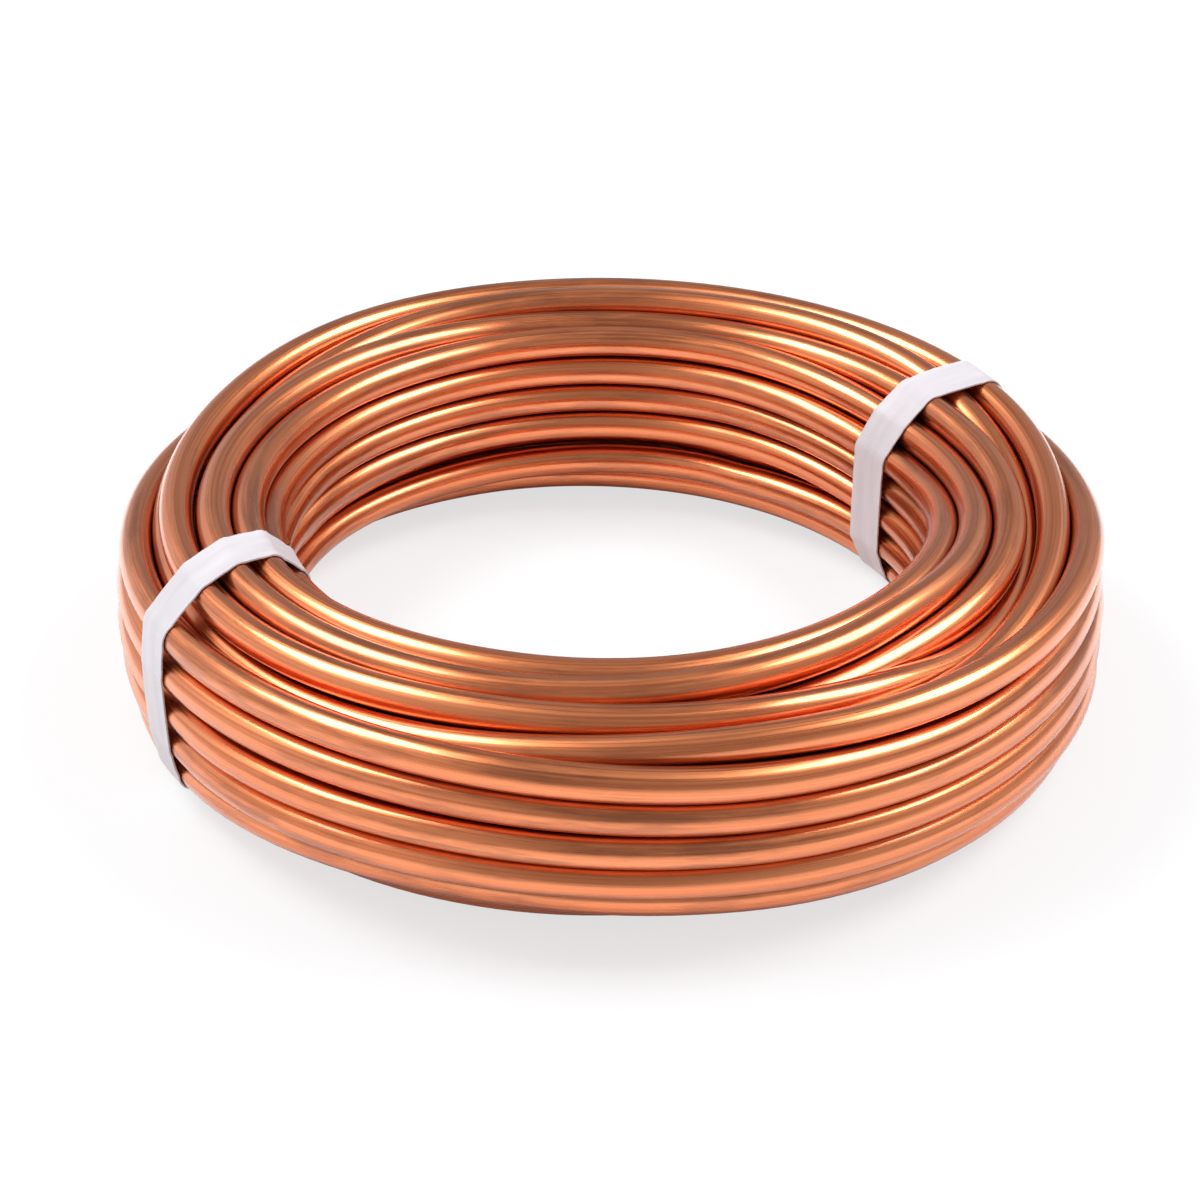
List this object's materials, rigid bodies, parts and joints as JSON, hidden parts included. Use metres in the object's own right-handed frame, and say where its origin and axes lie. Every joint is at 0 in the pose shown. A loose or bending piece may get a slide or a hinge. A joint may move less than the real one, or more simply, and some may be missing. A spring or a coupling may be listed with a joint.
{
  "type": "copper tube coil",
  "caption": "Flat coil of soft round copper tube, wound in nested layers round an open centre and held by two flat plastic straps; stock for pipework.",
  "frame": {"origin": "on the coil's axis, at the level of the floor that it lies on", "axes": "+Z along the coil's axis, up; +Y away from the side that the picture shows"},
  "size_m": [0.3004, 0.3004, 0.0745],
  "materials": {
    "copper": "bright drawn copper, satin, with faint brown oxide streaks",
    "strap": "translucent white polypropylene strapping"
  },
  "bodies": {
    "root": {"tube_coil": "copper", "left_strap": "strap", "right_strap": "strap"}
  },
  "joints": []
}
